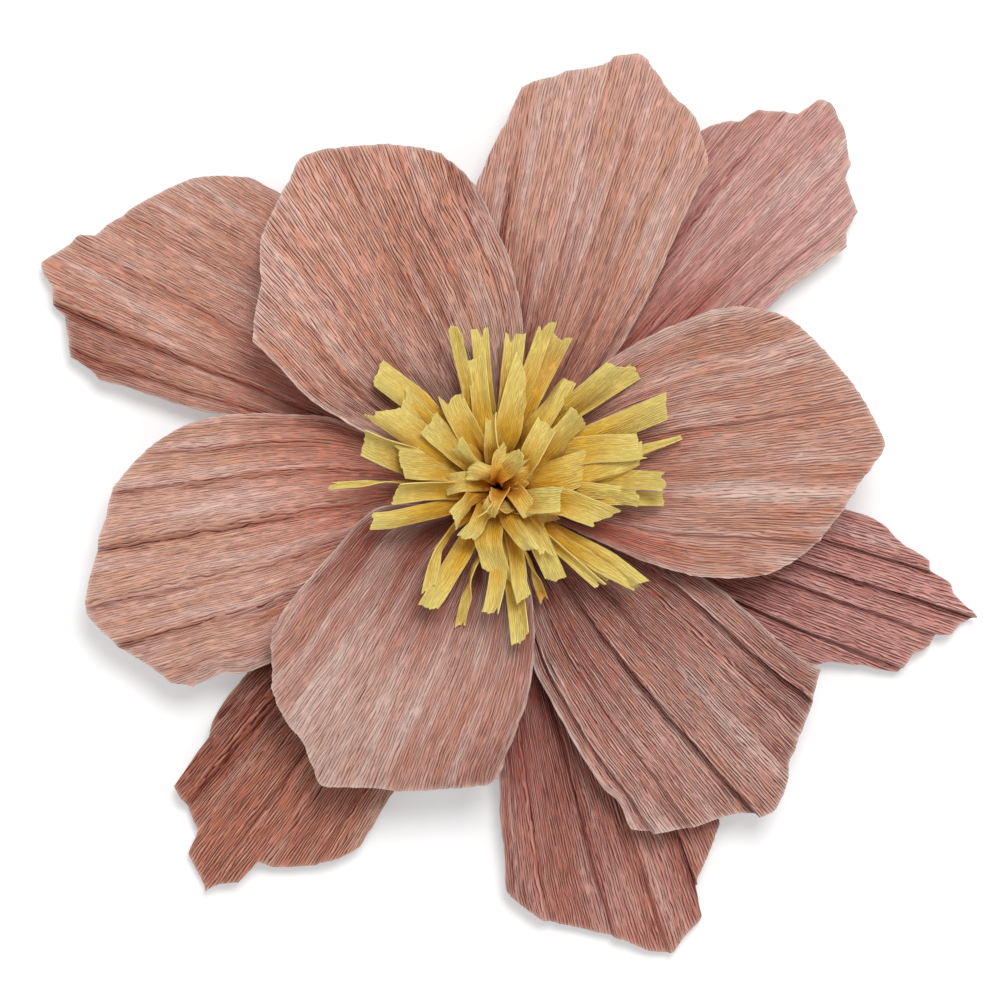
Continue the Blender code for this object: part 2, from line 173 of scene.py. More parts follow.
petalCuts = {
    "petal_back_upper_left": {
        "layer": "back", "axis": 155, "tip": 5, "cup": 2, "fan": 0.3, "dyeAndShading": 0.85, "slope": -0.2, "seed": 11,
        "tintAndShade": {"body": "#e0a08a", "tan": "#d39074", "second": "#cc7056"},
        "outline": [(-45, 72), (-70, 108), (-99, 132), (-112, 139), (-127, 140), (-138, 139), (-150, 134),
                    (-161, 128), (-177, 118), (-183, 112), (-188, 114), (-198, 107), (-207, 101), (-202, 91),
                    (-201, 82), (-196, 78), (-194, 66), (-193, 58), (-185, 54), (-180, 48), (-168, 45),
                    (-144, 37), (-131, 34), (-121, 32)],
        "folds": [(-0.48, -2.6), (-0.22, -3.2), (0.24, -4.2), (0.72, -2.4)],
    },
    "petal_back_upper_right": {
        "layer": "back", "axis": 47, "tip": 9, "cup": 0, "fan": 0.3, "dyeAndShading": 0.65, "slope": -0.3, "seed": 12,
        "tintAndShade": {"body": "#e0a59c", "tan": "#d4978a", "deep": "#85342e", "depth": 0.62},
        "outline": [(85, 52), (120, 80), (131, 90), (144, 99), (156, 108), (156, 114), (157, 119), (162, 123),
                    (158, 131), (155, 140), (158, 145), (157, 149), (156, 157), (153, 165), (151, 170),
                    (149, 173), (144, 175), (140, 174), (135, 168), (122, 169), (115, 170), (109, 164),
                    (104, 165), (93, 162), (75, 150), (60, 120), (40, 83)],
        "folds": [(-0.73, 2.4), (-0.36, -2.0), (0.0, -2.8), (0.38, -5.0), (0.68, 2.0)],
    },
    "petal_back_right": {
        "layer": "back", "axis": -20, "tip": 3, "cup": 0, "fan": 0.3, "dyeAndShading": 0.8, "slope": 0.3, "seed": 13,
        "tintAndShade": {"body": "#d29187", "tan": "#c48074", "deep": "#762a26", "pale": "#f2ccc2",
                 "second": "#d8695c", "depth": 1.25},
        "outline": [(105, -65), (138, -81), (150, -78), (157, -81), (164, -80), (178, -85), (183, -79),
                    (186, -75), (192, -73), (197, -65), (202, -67), (207, -62), (215, -59), (215, -56),
                    (211, -54), (204, -48), (203, -43), (194, -39), (193, -31), (185, -29), (177, -22),
                    (173, -17), (165, -13), (155, -10), (120, 0), (85, 8)],
        "folds": [(-0.47, 3.6), (0.1, 4.0), (0.37, 5.5), (0.66, 4.0)],
    },
    "petal_back_bottom": {
        "layer": "back", "axis": -74, "tip": 3, "cup": 2, "fan": 0.3, "dyeAndShading": 1.0, "slope": 0.15, "seed": 14,
        "tintAndShade": {"body": "#c87f6f", "tan": "#ba6f5c", "deep": "#681c14", "pale": "#e8c2b4",
                 "second": "#8e2a18", "depth": 1.0},
        "outline": [(-3, -95), (0, -131), (0, -145), (2, -166), (3, -182), (7, -186), (15, -192), (20, -195),
                    (38, -199), (50, -202), (57, -204), (67, -209), (78, -210), (83, -202), (90, -195),
                    (90, -191), (84, -182), (89, -177), (95, -162), (99, -150), (90, -115), (65, -75)],
        "folds": [(-0.69, -2.8), (-0.13, 2.4), (0.24, 2.4), (0.58, 5.0)],
    },
    "petal_back_lower_left": {
        "layer": "back", "axis": 233, "tip": 4, "cup": -2, "fan": 0.3, "dyeAndShading": 0.85, "slope": 0.4, "seed": 15,
        "tintAndShade": {"body": "#c47860", "tan": "#b4664c", "deep": "#661c10", "pale": "#eac2ae", "depth": 1.15},
        "outline": [(-75, -48), (-114, -84), (-123, -95), (-129, -104), (-131, -114), (-137, -118),
                    (-138, -122), (-147, -134), (-142, -142), (-136, -155), (-141, -165), (-135, -176),
                    (-132, -183), (-128, -179), (-116, -178), (-119, -168), (-110, -168), (-103, -171),
                    (-94, -171), (-83, -170), (-72, -167), (-63, -162), (-56, -150), (-48, -137),
                    (-30, -100)],
        "folds": [(-0.62, -5.0), (0.06, 3.2), (0.35, -2.8), (0.74, 2.2)],
    },
    "petal_middle_top": {
        "layer": "middle", "axis": 75, "tip": 18, "cup": 1, "fan": 0.3, "dyeAndShading": 0.5, "slope": 0.3, "seed": 16,
        "tintAndShade": {"body": "#e3ab9a", "tan": "#d79a7f", "second": "#f4a48c", "depth": 0.74},
        "outline": [(51, 58), (64, 80), (74, 101), (82, 120), (88, 133), (93, 141), (94, 145), (92, 153),
                    (89, 161), (93, 163), (86, 168), (76, 178), (72, 185), (66, 192), (63, 195), (52, 194),
                    (47, 190), (38, 188), (28, 187), (27, 185), (17, 183), (7, 178), (6, 166), (-1, 158),
                    (-7, 144), (-11, 135), (-14, 115), (-12, 80)],
        "folds": [(-0.61, -2.4), (-0.26, 3.0), (0.02, 2.8), (0.34, 2.2), (0.63, -2.8)],
    },
    "petal_middle_left": {
        "layer": "middle", "axis": 191, "tip": 21, "cup": -1, "fan": 0.3, "dyeAndShading": 0.65, "slope": -0.2, "seed": 17,
        "tintAndShade": {"body": "#ebb4a1", "tan": "#dea588", "second": "#e67e62", "depth": 0.76},
        "outline": [(-78, 32), (-100, 33), (-119, 33), (-131, 31), (-136, 30), (-145, 26), (-153, 21),
                    (-164, 12), (-170, 4), (-176, -4), (-177, -13), (-180, -23), (-182, -31), (-185, -42),
                    (-187, -55), (-185, -59), (-174, -70), (-162, -78), (-153, -84), (-147, -89),
                    (-144, -87), (-138, -90), (-125, -83), (-114, -84), (-95, -75), (-60, -50)],
        "folds": [(-0.76, -2.2), (-0.5, -3.6), (-0.13, -4.2), (0.25, -4.0), (0.55, -3.4)],
    },
    "petal_middle_lower_right": {
        "layer": "middle", "axis": -48, "tip": 20, "cup": 0, "fan": 0.3, "dyeAndShading": 0.95, "slope": -0.45, "seed": 18,
        "tintAndShade": {"body": "#cd8f80", "tan": "#bb7b68", "deep": "#641f14", "second": "#a04a34", "depth": 1.2},
        "outline": [(16, -84), (22, -94), (30, -109), (36, -120), (46, -135), (49, -138), (53, -140),
                    (59, -154), (64, -155), (73, -155), (87, -153), (99, -149), (106, -147), (118, -148),
                    (124, -145), (128, -137), (130, -129), (129, -124), (132, -120), (135, -111),
                    (139, -101), (142, -90), (144, -82), (137, -79), (126, -70), (115, -60), (99, -46),
                    (80, -33)],
        "folds": [(-0.88, 4.0), (-0.62, 2.4), (-0.2, 5.5), (0.49, -2.8), (0.76, 5.0)],
    },
    "petal_front_upper_left": {
        "layer": "front", "axis": 120, "tip": 40, "cup": 3, "fan": 0.6, "dyeAndShading": 0.9, "slope": 0.45, "seed": 19,
        "tintAndShade": {"body": "#e9a68f", "tan": "#da8f6e", "second": "#ffd0bc", "depth": 1.2},
        "outline": [(11, 71), (10, 77), (5, 101), (-4, 121), (-11, 135), (-17, 142), (-24, 148), (-31, 151),
                    (-40, 153), (-51, 154), (-65, 153), (-79, 152), (-91, 148), (-94, 139), (-99, 131),
                    (-103, 122), (-108, 111), (-107, 91), (-110, 78), (-111, 65), (-99, 54), (-92, 46),
                    (-86, 39), (-74, 32), (-60, 24)],
        "folds": [(-0.82, 2.6), (-0.5, 1.8), (-0.2, -1.8), (0.37, -1.4)],
    },
    "petal_front_lower_left": {
        "layer": "front", "axis": 246, "tip": 34, "cup": -3, "fan": 0.6, "dyeAndShading": 1.0, "slope": -0.25, "seed": 20,
        "tintAndShade": {"body": "#cf9686", "tan": "#c28169", "second": "#93412b", "depth": 0.72},
        "outline": [(-50, -6), (-64, -15), (-72, -26), (-80, -35), (-89, -45), (-98, -57), (-102, -64),
                    (-103, -71), (-102, -83), (-103, -88), (-99, -100), (-95, -107), (-88, -115),
                    (-84, -126), (-81, -135), (-70, -135), (-58, -135), (-44, -137), (-30, -136),
                    (-15, -135), (-6, -134), (-1, -131), (3, -121), (6, -112), (10, -103), (13, -92),
                    (15, -82), (16, -71), (15, -59), (14, -44)],
        "folds": [(-0.75, 1.6), (-0.37, 1.4), (0.13, -1.4)],
    },
    "petal_front_right": {
        "layer": "front", "axis": 4, "tip": 37, "cup": 1, "fan": 0.5, "dyeAndShading": 0.8, "slope": 0.75, "seed": 21,
        "tintAndShade": {"body": "#d59984", "tan": "#c57e60", "depth": 0.82},
        "outline": [(54, -29), (66, -34), (79, -38), (93, -41), (108, -41), (119, -40), (133, -33),
                    (141, -27), (147, -19), (154, -11), (159, -2), (163, 3), (170, 13), (174, 18), (169, 29),
                    (163, 40), (152, 54), (143, 64), (131, 75), (121, 79), (108, 81), (93, 79), (79, 73),
                    (67, 68), (50, 58), (34, 44)],
        "folds": [(-0.61, 2.2), (-0.2, -2.0), (0.3, 2.2), (0.66, -2.0)],
    },
}


def widthAt(side, distance, fan, column=1):
    inside = np.interp(distance, side[:, 0], side[:, column])
    beyond = np.maximum(distance - side[-1, 0], 0.0)
    return inside * (1.0 + fan * beyond / side[-1, 0])


def rounded(values, reach):
    # a running mean that keeps both ends
    padded = np.pad(values, reach, mode="reflect", reflect_type="odd")
    return np.convolve(padded, np.full(2 * reach + 1, 1.0 / (2 * reach + 1)), "valid")


def roundedSide(stations, soft):
    # the side's width at every millimetre out: as it is cut, and eased for the grain inside it
    stations = np.array(sorted(stations))
    places = np.append(np.arange(stations[0, 0], stations[-1, 0], 1.0), stations[-1, 0])
    widths = np.interp(places, stations[:, 0], stations[:, 1])
    return np.column_stack([places, rounded(widths, soft), rounded(widths, petal["grainSoft"])])


def halfWidth(side, distance, fan, across):
    inner = widthAt(side, distance, fan, 2)
    return inner + (widthAt(side, distance, fan, 1) - inner) * np.abs(across) ** 6


def foldSheet(cut, across, flatHalf):
    # how far each column of the sheet is lifted by the knife folds and moved across by their laps, and the painted
    # shadow below each fold and painted highlight above it
    knots, values, shift, tone = [-1.0], [0.0], np.zeros(len(across)), np.zeros(len(across))
    deepReach, paleReach = petal["foldShade"]
    for place, step in cut["folds"]:
        lap = petal["foldLap"] * abs(step)
        zone = max(1.1, 0.28 * lap)
        gap = (across - place) * flatHalf
        below = gap * math.copysign(1.0, -step)
        # painted shadow on the lower ply below the fold, painted highlight on the upper ply's edge
        beside = np.where(below > 0, -np.exp(-np.abs(below) / deepReach), 0.5 * np.exp(-np.abs(below) / paleReach))
        tone += petal["foldShadeStrength"] * beside * min(abs(step) / petal["fullFold"], 1.2)
        near = math.copysign(lap / 2, -step) * np.sign(gap) * np.minimum(np.abs(gap) / zone, 1.0)
        shift += near * np.exp(-np.maximum(np.abs(gap) - zone, 0) / (1.5 * lap))
        zone /= np.interp(place, across, flatHalf)
        knots += [place - zone, place + zone]
        values += [-step / 2, step / 2]
    return np.interp(across, knots + [1.0], values + [0.0]) * petal["foldDepth"], shift, tone


def petalSheet(cut):
    # points of the sheet's middle in mm, their place on the flat paper, and the values that the colour and the
    # painted shade read
    layer = petal["layers"][cut["layer"]]
    dice = np.random.default_rng(cut["seed"])
    angle = math.radians(cut["axis"])
    out = np.array([math.cos(angle), math.sin(angle)])
    left = np.array([-math.sin(angle), math.cos(angle)])
    shape = np.array(cut["outline"], float) * (1.0 - (cut["tip"] - petal["traceHeight"]) / petal["traceReach"])
    shape = np.column_stack([shape @ out, shape @ left])
    low, high = int(np.argmin(shape[:, 1])), int(np.argmax(shape[:, 1]))
    foot = petal["footRadius"]
    soft = layer["soft"]
    right = roundedSide([(foot, layer["foot"])] + [(a, -c) for a, c in shape[:low + 1] if a > foot], soft)
    other = roundedSide([(foot, layer["foot"])] + [(a, c) for a, c in shape[high:] if a > foot], soft)
    end = shape[low:high + 1]
    halves = np.array([widthAt(right, end[:, 0], cut["fan"]), widthAt(other, end[:, 0], cut["fan"])])
    endAcross = np.maximum.accumulate(np.where(end[:, 1] < 0, end[:, 1] / halves[0], end[:, 1] / halves[1]))
    flatWidth = right[-1, 1] + other[-1, 1]
    ridges = int(flatWidth / petal["ridgePitch"])
    flat = np.concatenate([[0.0], np.cumsum(dice.uniform(0.6, 1.4, 2 * ridges))])
    flat = flat * flatWidth / flat[-1] - right[-1, 1]
    across = np.where(flat < 0, flat / right[-1, 1], flat / other[-1, 1])
    columns = len(across)
    rows = int((end[:, 0].max() - foot) / petal["rowPitch"])

    reach = rounded(np.interp(across, endAcross, end[:, 0]), soft // 2)
    ragged = softNoise(dice, columns, 2, max(columns // 3, 2), 1)[:, 0] + 0.5 * dice.standard_normal(columns)
    reach = reach + petal["endRagged"] * ragged
    share = np.linspace(0.0, 1.0, rows)[:, None]
    distance = foot + share * (reach[None, :] - foot)
    wander = petal["ridgeWander"] * softNoise(dice, rows, columns, max(rows // 4, 2), max(columns // 5, 2))
    wander = wander * np.sin(np.pi * share) ** 0.3 * (1 - np.abs(across) ** 8)
    half = np.where(across < 0, halfWidth(right, distance, cut["fan"], across),
                    halfWidth(other, distance, cut["fan"], across))
    flatHalf = np.where(across < 0, right[-1, 1], other[-1, 1])
    squeeze = half / flatHalf
    sideRag = petal["sideRagged"] * softNoise(dice, rows, 2, max(rows // 2, 2), 1)
    offset = across * half + wander * squeeze
    offset[:, 0] += sideRag[:, 0]
    offset[:, -1] += sideRag[:, 1]
    radius = np.hypot(distance, offset)

    opened = ease((distance - foot) / (layer["crest"] - foot))
    gathered = 1.0 - ease((distance - foot) / (petal["gatherReach"] - foot))
    climb = np.clip((radius - foot) / (layer["crest"] - foot), 0.0, 1.0)
    fall = np.clip((radius - layer["crest"]) / (end[:, 0].max() - layer["crest"]), 0.0, 1.0)
    height = petal["footHeight"] + layer["order"] * petal["layerStep"]
    height = height + layer["rise"] * np.sin(climb * math.pi / 2)
    height = height - (layer["rise"] - cut["tip"]) * (1.0 - np.cos(fall * math.pi / 2))
    height = height + cut["cup"] * across**2 * opened
    lift, shift, folded = foldSheet(cut, across, flatHalf)
    height = height + lift * (petal["foldStart"] + (1.0 - petal["foldStart"]) * opened) * ease(share / 0.3)
    shift = shift * ease(share / 0.3) * (1 - 0.5 * ease((share - 0.6) / 0.4))
    offset = offset + shift * squeeze * (1 - np.abs(across) ** 12)
    waves = across * layer["foot"] / petal["gatherPitch"]
    waves = waves + petal["gatherDrift"] * softNoise(dice, rows, columns, 3, 7)
    gathers = np.cos(waves * 2.0 * math.pi) * gathered * ease(share / 0.06)
    height = height + petal["gatherHeight"] * gathers

    # painted shade in the gathers' hollows and painted highlight on their crests, with the folds' painted shadows
    # and highlights
    tone = petal["gatherShade"] * gathers + folded * ease((share - 0.1) / 0.3)
    # the second colour at the foot: partly the paper's own deeper colour, partly painted shade where the petals
    # above and the stamens shade the foot, and for some petals painted light
    dyedAndShadedTo, fading = layer["dyedAndShaded"]
    dyeAndShadingEdge = distance + petal["dyeAndShadingDrift"] * softNoise(dice, rows, columns, 2, max(columns // 5, 2))
    zone = cut["dyeAndShading"] * (1.0 - ease((dyeAndShadingEdge - dyedAndShadedTo) / fading))
    # soft random patches of the paper's own tone, and painted side light and shade: one side of the petal painted
    # paler and the other darker
    tone = tone + petal["patchTone"] * softNoise(dice, rows, columns, 3, 5) + cut["slope"] * across
    for turn in range(petal["creases"]):
        centre = dice.uniform(-0.96, 0.96) + 0.012 * np.sin(share * dice.uniform(2, 6) + dice.uniform(0, 6))
        begin, finish = dice.uniform(0.0, 0.12), dice.uniform(0.35, 1.1)
        if turn % 3 == 0:
            begin, finish = dice.uniform(0.25, 0.6), dice.uniform(0.8, 1.3)
        fade = ease((share - begin) / 0.2) * ease((finish - share) / 0.35) * (1 - 0.5 * ease((share - 0.4) / 0.4))
        gap = (across[None, :] - centre) * flatHalf
        depth = dice.uniform(0.25, 1.0) * dice.choice([-1.0, -1.0, 1.0])
        groove = depth * fade * np.exp(-np.abs(gap) / dice.uniform(*petal["creaseWidth"]))
        height = height + petal["creaseDepth"] * groove
        # painted shade in the sunk creases and painted highlight on the raised ones
        tone = tone + petal["creaseShade"] * groove
    height = height + petal["ripple"] * opened * softNoise(dice, rows, columns, 3, 5)
    frill = softNoise(dice, rows, columns, 2, max(int(flatWidth / 14), 3))
    height = height + petal["frill"] * frill * ease((share - 0.55) / 0.45)
    # crests +1 and valleys -1 of the crepe's ridges; the colour reads it as painted highlight on the crests and
    # painted shade in the valleys
    crest = np.where(np.arange(columns) % 2 == 0, 1.0, -1.0)[None, :]
    strength = 0.45 + 1.35 * softNoise(dice, rows, columns, max(rows // 4, 2), max(columns // 2, 2))
    crest = crest * np.clip(strength, -1.6, 1.6)
    height = height + petal["ridgeHeight"] * crest * (0.35 + 0.65 * np.minimum(squeeze, 1.0))

    plan = distance[..., None] * out + offset[..., None] * left
    points = np.concatenate([plan, height[..., None]], axis=2)
    grain = np.stack([across * flatHalf + wander, distance], axis=-1)
    edge = np.minimum(reach[None, :] - distance, flatHalf * squeeze * (1 - np.abs(across)[None, :]))
    rim = np.exp(-np.maximum(edge, 0.0) / petal["rimReach"])
    return points, grain, {"rim": rim, "crest": crest, "tone": tone, "zone": zone}


def twoSided(grid):
    # a grid's values once for each face of its sheet
    flat = grid.reshape(-1, *grid.shape[2:])
    return np.concatenate([flat, flat])


# Shader nodes

def addNode(tree, kind, values=None, **settings):
    node = tree.nodes.new(kind)
    for key, value in settings.items():
        setattr(node, key, value)
    for key, value in (values or {}).items():
        node.inputs[key].default_value = value
    return node


def feed(tree, socket, value):
    # with another node's output, or with a plain value
    if isinstance(value, bpy.types.NodeSocket):
        tree.links.new(value, socket)
    else:
        socket.default_value = value


def addMath(tree, operation, one, two, clamp=False):
    node = addNode(tree, "ShaderNodeMath", operation=operation, use_clamp=clamp)
    feed(tree, node.inputs[0], one)
    feed(tree, node.inputs[1], two)
    return node.outputs[0]


def addWindow(tree, value, low, high, bottom=0.0, top=1.0, way="SMOOTHSTEP"):
    # goes from bottom to top while the value goes from low to high
    node = addNode(tree, "ShaderNodeMapRange",
                   {"From Min": low, "From Max": high, "To Min": bottom, "To Max": top}, interpolation_type=way)
    tree.links.new(value, node.inputs["Value"])
    return node.outputs["Result"]


def mixColours(tree, factor, one, two):
    node = addNode(tree, "ShaderNodeMix", data_type="RGBA", clamp_factor=True)
    for index, value in ((0, factor), (6, one), (7, two)):
        feed(tree, node.inputs[index], value)
    return node.outputs[2]


def addBump(tree, shader, height, strength, distance):
    bump = addNode(tree, "ShaderNodeBump", {"Strength": strength, "Distance": distance})
    tree.links.new(height, bump.inputs["Height"])
    tree.links.new(bump.outputs["Normal"], shader.inputs["Normal"])


def newMaterial(name):
    material = bpy.data.materials.new(name)
    material.use_nodes = True
    return material, material.node_tree, material.node_tree.nodes["Principled BSDF"]


def newGroup(name, inputs, outputs):
    # with the names of its inputs and outputs by kind
    group = bpy.data.node_groups.new(name, "ShaderNodeTree")
    for way, sockets in (("INPUT", inputs), ("OUTPUT", outputs)):
        for kind, labels in sockets.items():
            for label in labels:
                group.interface.new_socket(label, in_out=way, socket_type=kind)
    return group, group.nodes.new("NodeGroupInput"), group.nodes.new("NodeGroupOutput")


# The crepe's wrinkles, shared by both papers

wrinkles = {
    "coarse": 1.15,            # pitch of the main wrinkles, times the paper's own pitch
    "fine": 0.85,
    "fineShare": 0.6,          # strength of the fine wrinkles beside the main ones
    "drift": 1.5,              # how far a line strays over a few mm, in lines
    "sway": 1.4,               # and over a few cm
    "present": (0.33, 0.55),   # noise at which wrinkles begin to show, and show in full
    # the dark line is painted shade in a wrinkle, and the lit line a painted highlight beside it
    "dark": (0.32, 0.21),      # place and half width of the dark line within its pitch
    "lit": (0.72, 0.24),
    "bumpHeight": 0.0004,      # in metres
    "roughness": (0.95, 0.78),   # of the deep and of the pale streaks
    "shine": 0.25,
}


def crepeGrainGroup():
    # thin wrinkle lines, painted shade with a painted highlight beside each, and streaks that run along the
    # paper's grain, from its flat place in mm
    group, given, result = newGroup(
        "crepeGrain", {"NodeSocketVector": ["Flat"], "NodeSocketFloat": ["Pitch", "Length", "Seed"]},
        {"NodeSocketFloat": ["Wrinkle", "Glint", "Streak", "Wash", "Height"]})
    split = addNode(group, "ShaderNodeSeparateXYZ")
    group.links.new(given.outputs["Flat"], split.inputs[0])

    def stretched(pitchTimes, lengthTimes, detail, distortion, shift):
        place = addNode(group, "ShaderNodeCombineXYZ")
        pitch = addMath(group, "MULTIPLY", given.outputs["Pitch"], pitchTimes)
        length = addMath(group, "MULTIPLY", given.outputs["Length"], lengthTimes)
        group.links.new(addMath(group, "DIVIDE", split.outputs[0], pitch), place.inputs[0])
        group.links.new(addMath(group, "DIVIDE", split.outputs[1], length), place.inputs[1])
        group.links.new(addMath(group, "ADD", given.outputs["Seed"], shift), place.inputs[2])
        noise = addNode(group, "ShaderNodeTexNoise",
                        {"Scale": 1.0, "Detail": detail, "Roughness": 0.5, "Distortion": distortion})
        group.links.new(place.outputs[0], noise.inputs["Vector"])
        return noise.outputs["Fac"]

    def ridgeLines(pitchTimes, shift):
        # thin dark lines that wander, come and go, painted shade in the crepe's wrinkles, each with a lit line
        # beside it as painted highlight
        drift = stretched(2.2 * pitchTimes, 0.85, 1.0, 0.0, shift)
        sway = stretched(9.0, 3.0, 1.0, 0.0, shift + 2.0)
        stray = addMath(group, "ADD", addMath(group, "MULTIPLY", drift, wrinkles["drift"]),
                        addMath(group, "MULTIPLY", sway, wrinkles["sway"]))
        pitch = addMath(group, "MULTIPLY", given.outputs["Pitch"], pitchTimes)
        phase = addMath(group, "ADD", addMath(group, "DIVIDE", split.outputs[0], pitch), stray)
        part = addMath(group, "FRACT", phase, 0.0)
        present = addWindow(group, stretched(1.5 * pitchTimes, 0.5, 1.0, 0.0, shift + 4.0), *wrinkles["present"])

        def line(centre, width):
            off = addMath(group, "ABSOLUTE", addMath(group, "SUBTRACT", part, centre), 0.0)
            return addMath(group, "MULTIPLY", addWindow(group, off, 0.0, width, 1.0, 0.0), present)

        return line(*wrinkles["dark"]), line(*wrinkles["lit"])

    coarse, fine = ridgeLines(wrinkles["coarse"], 0.0), ridgeLines(wrinkles["fine"], 21.0)
    wrinkle, glint = (addMath(group, "MAXIMUM", one, addMath(group, "MULTIPLY", two, wrinkles["fineShare"]))
                      for one, two in zip(coarse, fine))
    for key, value in (("Wrinkle", wrinkle), ("Glint", glint), ("Streak", stretched(1.1, 1.2, 3.0, 0.1, 11.0)),
                       ("Wash", stretched(5.5, 6.0, 3.0, 0.1, 17.0)),
                       ("Height", addMath(group, "SUBTRACT", glint, wrinkle))):
        group.links.new(value, result.inputs[key])
    return group


# How the paper's own colours and the painted highlight and shade take. Each row is (value where it begins, value
# where it is full, strength then).

dyeAndShadeSteps = {
    "bodyWash": (0.36, 0.58, 1.0),   # from tan to the body colour
    "paleWash": (0.52, 0.70, 0.5),   # from there to pale
    "paleStreak": (0.50, 0.72, 0.22),
    # paleCrest, paleTone and paleGlint are painted highlight, deepValley and deepTone painted shade; the tone rows
    # also carry the paper's soft random patches
    "paleCrest": (0.0, 1.3, 0.22),
    "paleTone": (0.05, 0.9, 0.35),
    "deepValley": (0.1, 1.3, 0.45),
    "deepStreak": (0.50, 0.74, 0.16),
    "deepTone": (0.1, 1.0, 0.5),
    "paleGlint": 0.62,
    "paleRim": 0.5,
}


def dyeAndShadeGroup():
    # the paper's colour: washes and streaks between body and pale as its own tone, a second colour over one zone
    # (at a petal's foot partly painted shade and light, at the stamens' tips paler), painted highlights, and
    # painted shade as deep colour in the wrinkles
    group, given, result = newGroup(
        "crepeDyeAndShade",
        {"NodeSocketFloat": ["Wrinkle", "Glint", "Streak", "Wash", "Crest", "Rim", "Tone", "Zone", "Depth"],
         "NodeSocketColor": ["Deep", "Body", "Tan", "Pale", "Second"]},
        {"NodeSocketColor": ["Color"]})
    ask = given.outputs

    def times(one, two):
        return addMath(group, "MULTIPLY", one, two)

    def plus(one, two, clamp=False):
        return addMath(group, "ADD", one, two, clamp)

    def taken(key, value):
        begins, full, strength = dyeAndShadeSteps[key]
        return times(addWindow(group, value, begins, full), strength)

    colour = mixColours(group, taken("bodyWash", ask["Wash"]), ask["Tan"], ask["Body"])
    colour = mixColours(group, taken("paleWash", ask["Wash"]), colour, ask["Pale"])
    colour = mixColours(group, ask["Zone"], colour, ask["Second"])
    # painted highlight on the ridge crests, beside the wrinkles and on the paler side of the tone, with pale
    # streaks of the paper
    lit = plus(taken("paleStreak", ask["Streak"]), taken("paleCrest", ask["Crest"]))
    lit = plus(lit, times(times(ask["Glint"], ask["Depth"]), dyeAndShadeSteps["paleGlint"]))
    lit = plus(lit, taken("paleTone", ask["Tone"]), clamp=True)
    colour = mixColours(group, lit, colour, ask["Pale"])
    # painted shade: deep colour in the wrinkles and ridge valleys and on the darker side of the tone, with dark
    # streaks of the paper
    sunk = addMath(group, "MAXIMUM", ask["Wrinkle"], taken("deepValley", times(ask["Crest"], -1.0)))
    dim = plus(taken("deepStreak", addMath(group, "SUBTRACT", 1.0, ask["Streak"])),
               taken("deepTone", times(ask["Tone"], -1.0)))
    sunk = plus(times(sunk, ask["Depth"]), dim, clamp=True)
    colour = mixColours(group, sunk, colour, ask["Deep"])
    colour = mixColours(group, times(ask["Rim"], dyeAndShadeSteps["paleRim"]), colour, ask["Pale"])
    group.links.new(colour, result.inputs["Color"])
    return group


grainTree, dyeAndShadeTree = crepeGrainGroup(), dyeAndShadeGroup()
print("shader groups ready")


def hexColour(text):
    # a colour as it is seen, written #rrggbb, turned into linear values
    values = [int(text[i:i + 2], 16) / 255 for i in (1, 3, 5)]
    return tuple(v / 12.92 if v < 0.04045 else ((v + 0.055) / 1.055) ** 2.4 for v in values) + (1.0,)


def crepeMaterial(name, paper):
    material, tree, shader = newMaterial(name)
    grain = addNode(tree, "ShaderNodeGroup", node_tree=grainTree)
    for key in ("Pitch", "Length", "Seed"):
        grain.inputs[key].default_value = paper[key.lower()]
    flat = addNode(tree, "ShaderNodeUVMap", uv_map="grain")
    tree.links.new(flat.outputs[0], grain.inputs["Flat"])
    dyeAndShading = addNode(tree, "ShaderNodeGroup", node_tree=dyeAndShadeTree)
    for key in ("Deep", "Body", "Tan", "Pale", "Second"):
        dyeAndShading.inputs[key].default_value = hexColour(paper[key.lower()])
    dyeAndShading.inputs["Depth"].default_value = paper["depth"]
    for key in ("Wrinkle", "Glint", "Streak", "Wash"):
        tree.links.new(grain.outputs[key], dyeAndShading.inputs[key])
    for key in ("Crest", "Rim", "Tone", "Zone"):
        value = addNode(tree, "ShaderNodeAttribute", attribute_name=key.lower())
        tree.links.new(value.outputs["Fac"], dyeAndShading.inputs[key])
    tree.links.new(dyeAndShading.outputs["Color"], shader.inputs["Base Color"])
    addBump(tree, shader, grain.outputs["Height"], paper["bump"], wrinkles["bumpHeight"])
    rough = addWindow(tree, grain.outputs["Streak"], 0.3, 0.7, *wrinkles["roughness"], way="LINEAR")
    tree.links.new(rough, shader.inputs["Roughness"])
    shader.inputs["Specular IOR Level"].default_value = wrinkles["shine"]
    return material


# The petals' paper, which each petal's "tintAndShade" changes: partly the paper's own tone, and partly painted
# shade and light, as darker and redder copies for petals that lie in shade and paler ones for petals in more light

# "deep" colours the painted shade in wrinkles, valleys, gathers, creases and folds and the paper's dark streaks;
# "second" the colour at the foot, partly painted shade and light; "depth" how strong the painted wrinkle shade and
# glints are
blush = {"deep": "#7a2a1a", "body": "#dea08e", "tan": "#cf886b", "pale": "#f2dace", "second": "#dc654a",
         "depth": 0.78, "pitch": 1.0, "length": 13.0, "bump": 0.7}


def makePetals():
    for name, cut in petalCuts.items():
        points, grain, values = petalSheet(cut)
        vertices, faces = sheetParts(points * mm, petal["paper"] * mm)
        values = {key: twoSided(value) for key, value in values.items()}
        piece = makeMesh(name.replace("petal", "crepe_petal"), vertices, faces, twoSided(grain), values)
        paper = dict(blush, seed=cut["seed"] * 3.7, **cut["tintAndShade"])
        piece.data.materials.append(crepeMaterial("blushCrepe_" + name, paper))
        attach(piece, "root")
        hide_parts(name)
        print(piece.name, points.shape[:2], "points")


# Stamen fringe: one strip rolled up, its tongues fanned out to the tips seen from above

